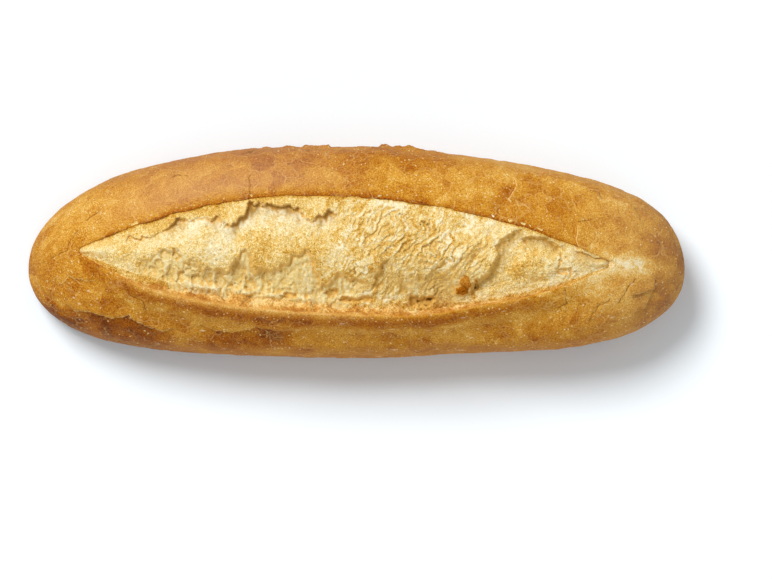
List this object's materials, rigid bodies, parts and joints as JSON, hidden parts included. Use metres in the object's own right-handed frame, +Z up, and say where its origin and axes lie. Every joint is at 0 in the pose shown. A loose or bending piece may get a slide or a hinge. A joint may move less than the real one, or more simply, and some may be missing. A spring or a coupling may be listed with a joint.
{
  "type": "baguette roll",
  "caption": "Crusty baguette roll: one small pointed loaf, slashed along its top, with torn pale crumb between a clean back lip and a raised ear of crust.",
  "frame": {"origin": "on the flat resting face, at the middle of the loaf's length and width", "axes": "+X along the loaf, to the right in the picture; +Y across it, to the back lip at the picture's top; +Z up from the resting face"},
  "size_m": [0.2, 0.0645, 0.0455],
  "materials": {
    "crust": "dry baked crust, golden brown and slightly satin, with matt pale crumb in the slash"
  },
  "bodies": {
    "root": {"roll": "crust"}
  },
  "joints": []
}
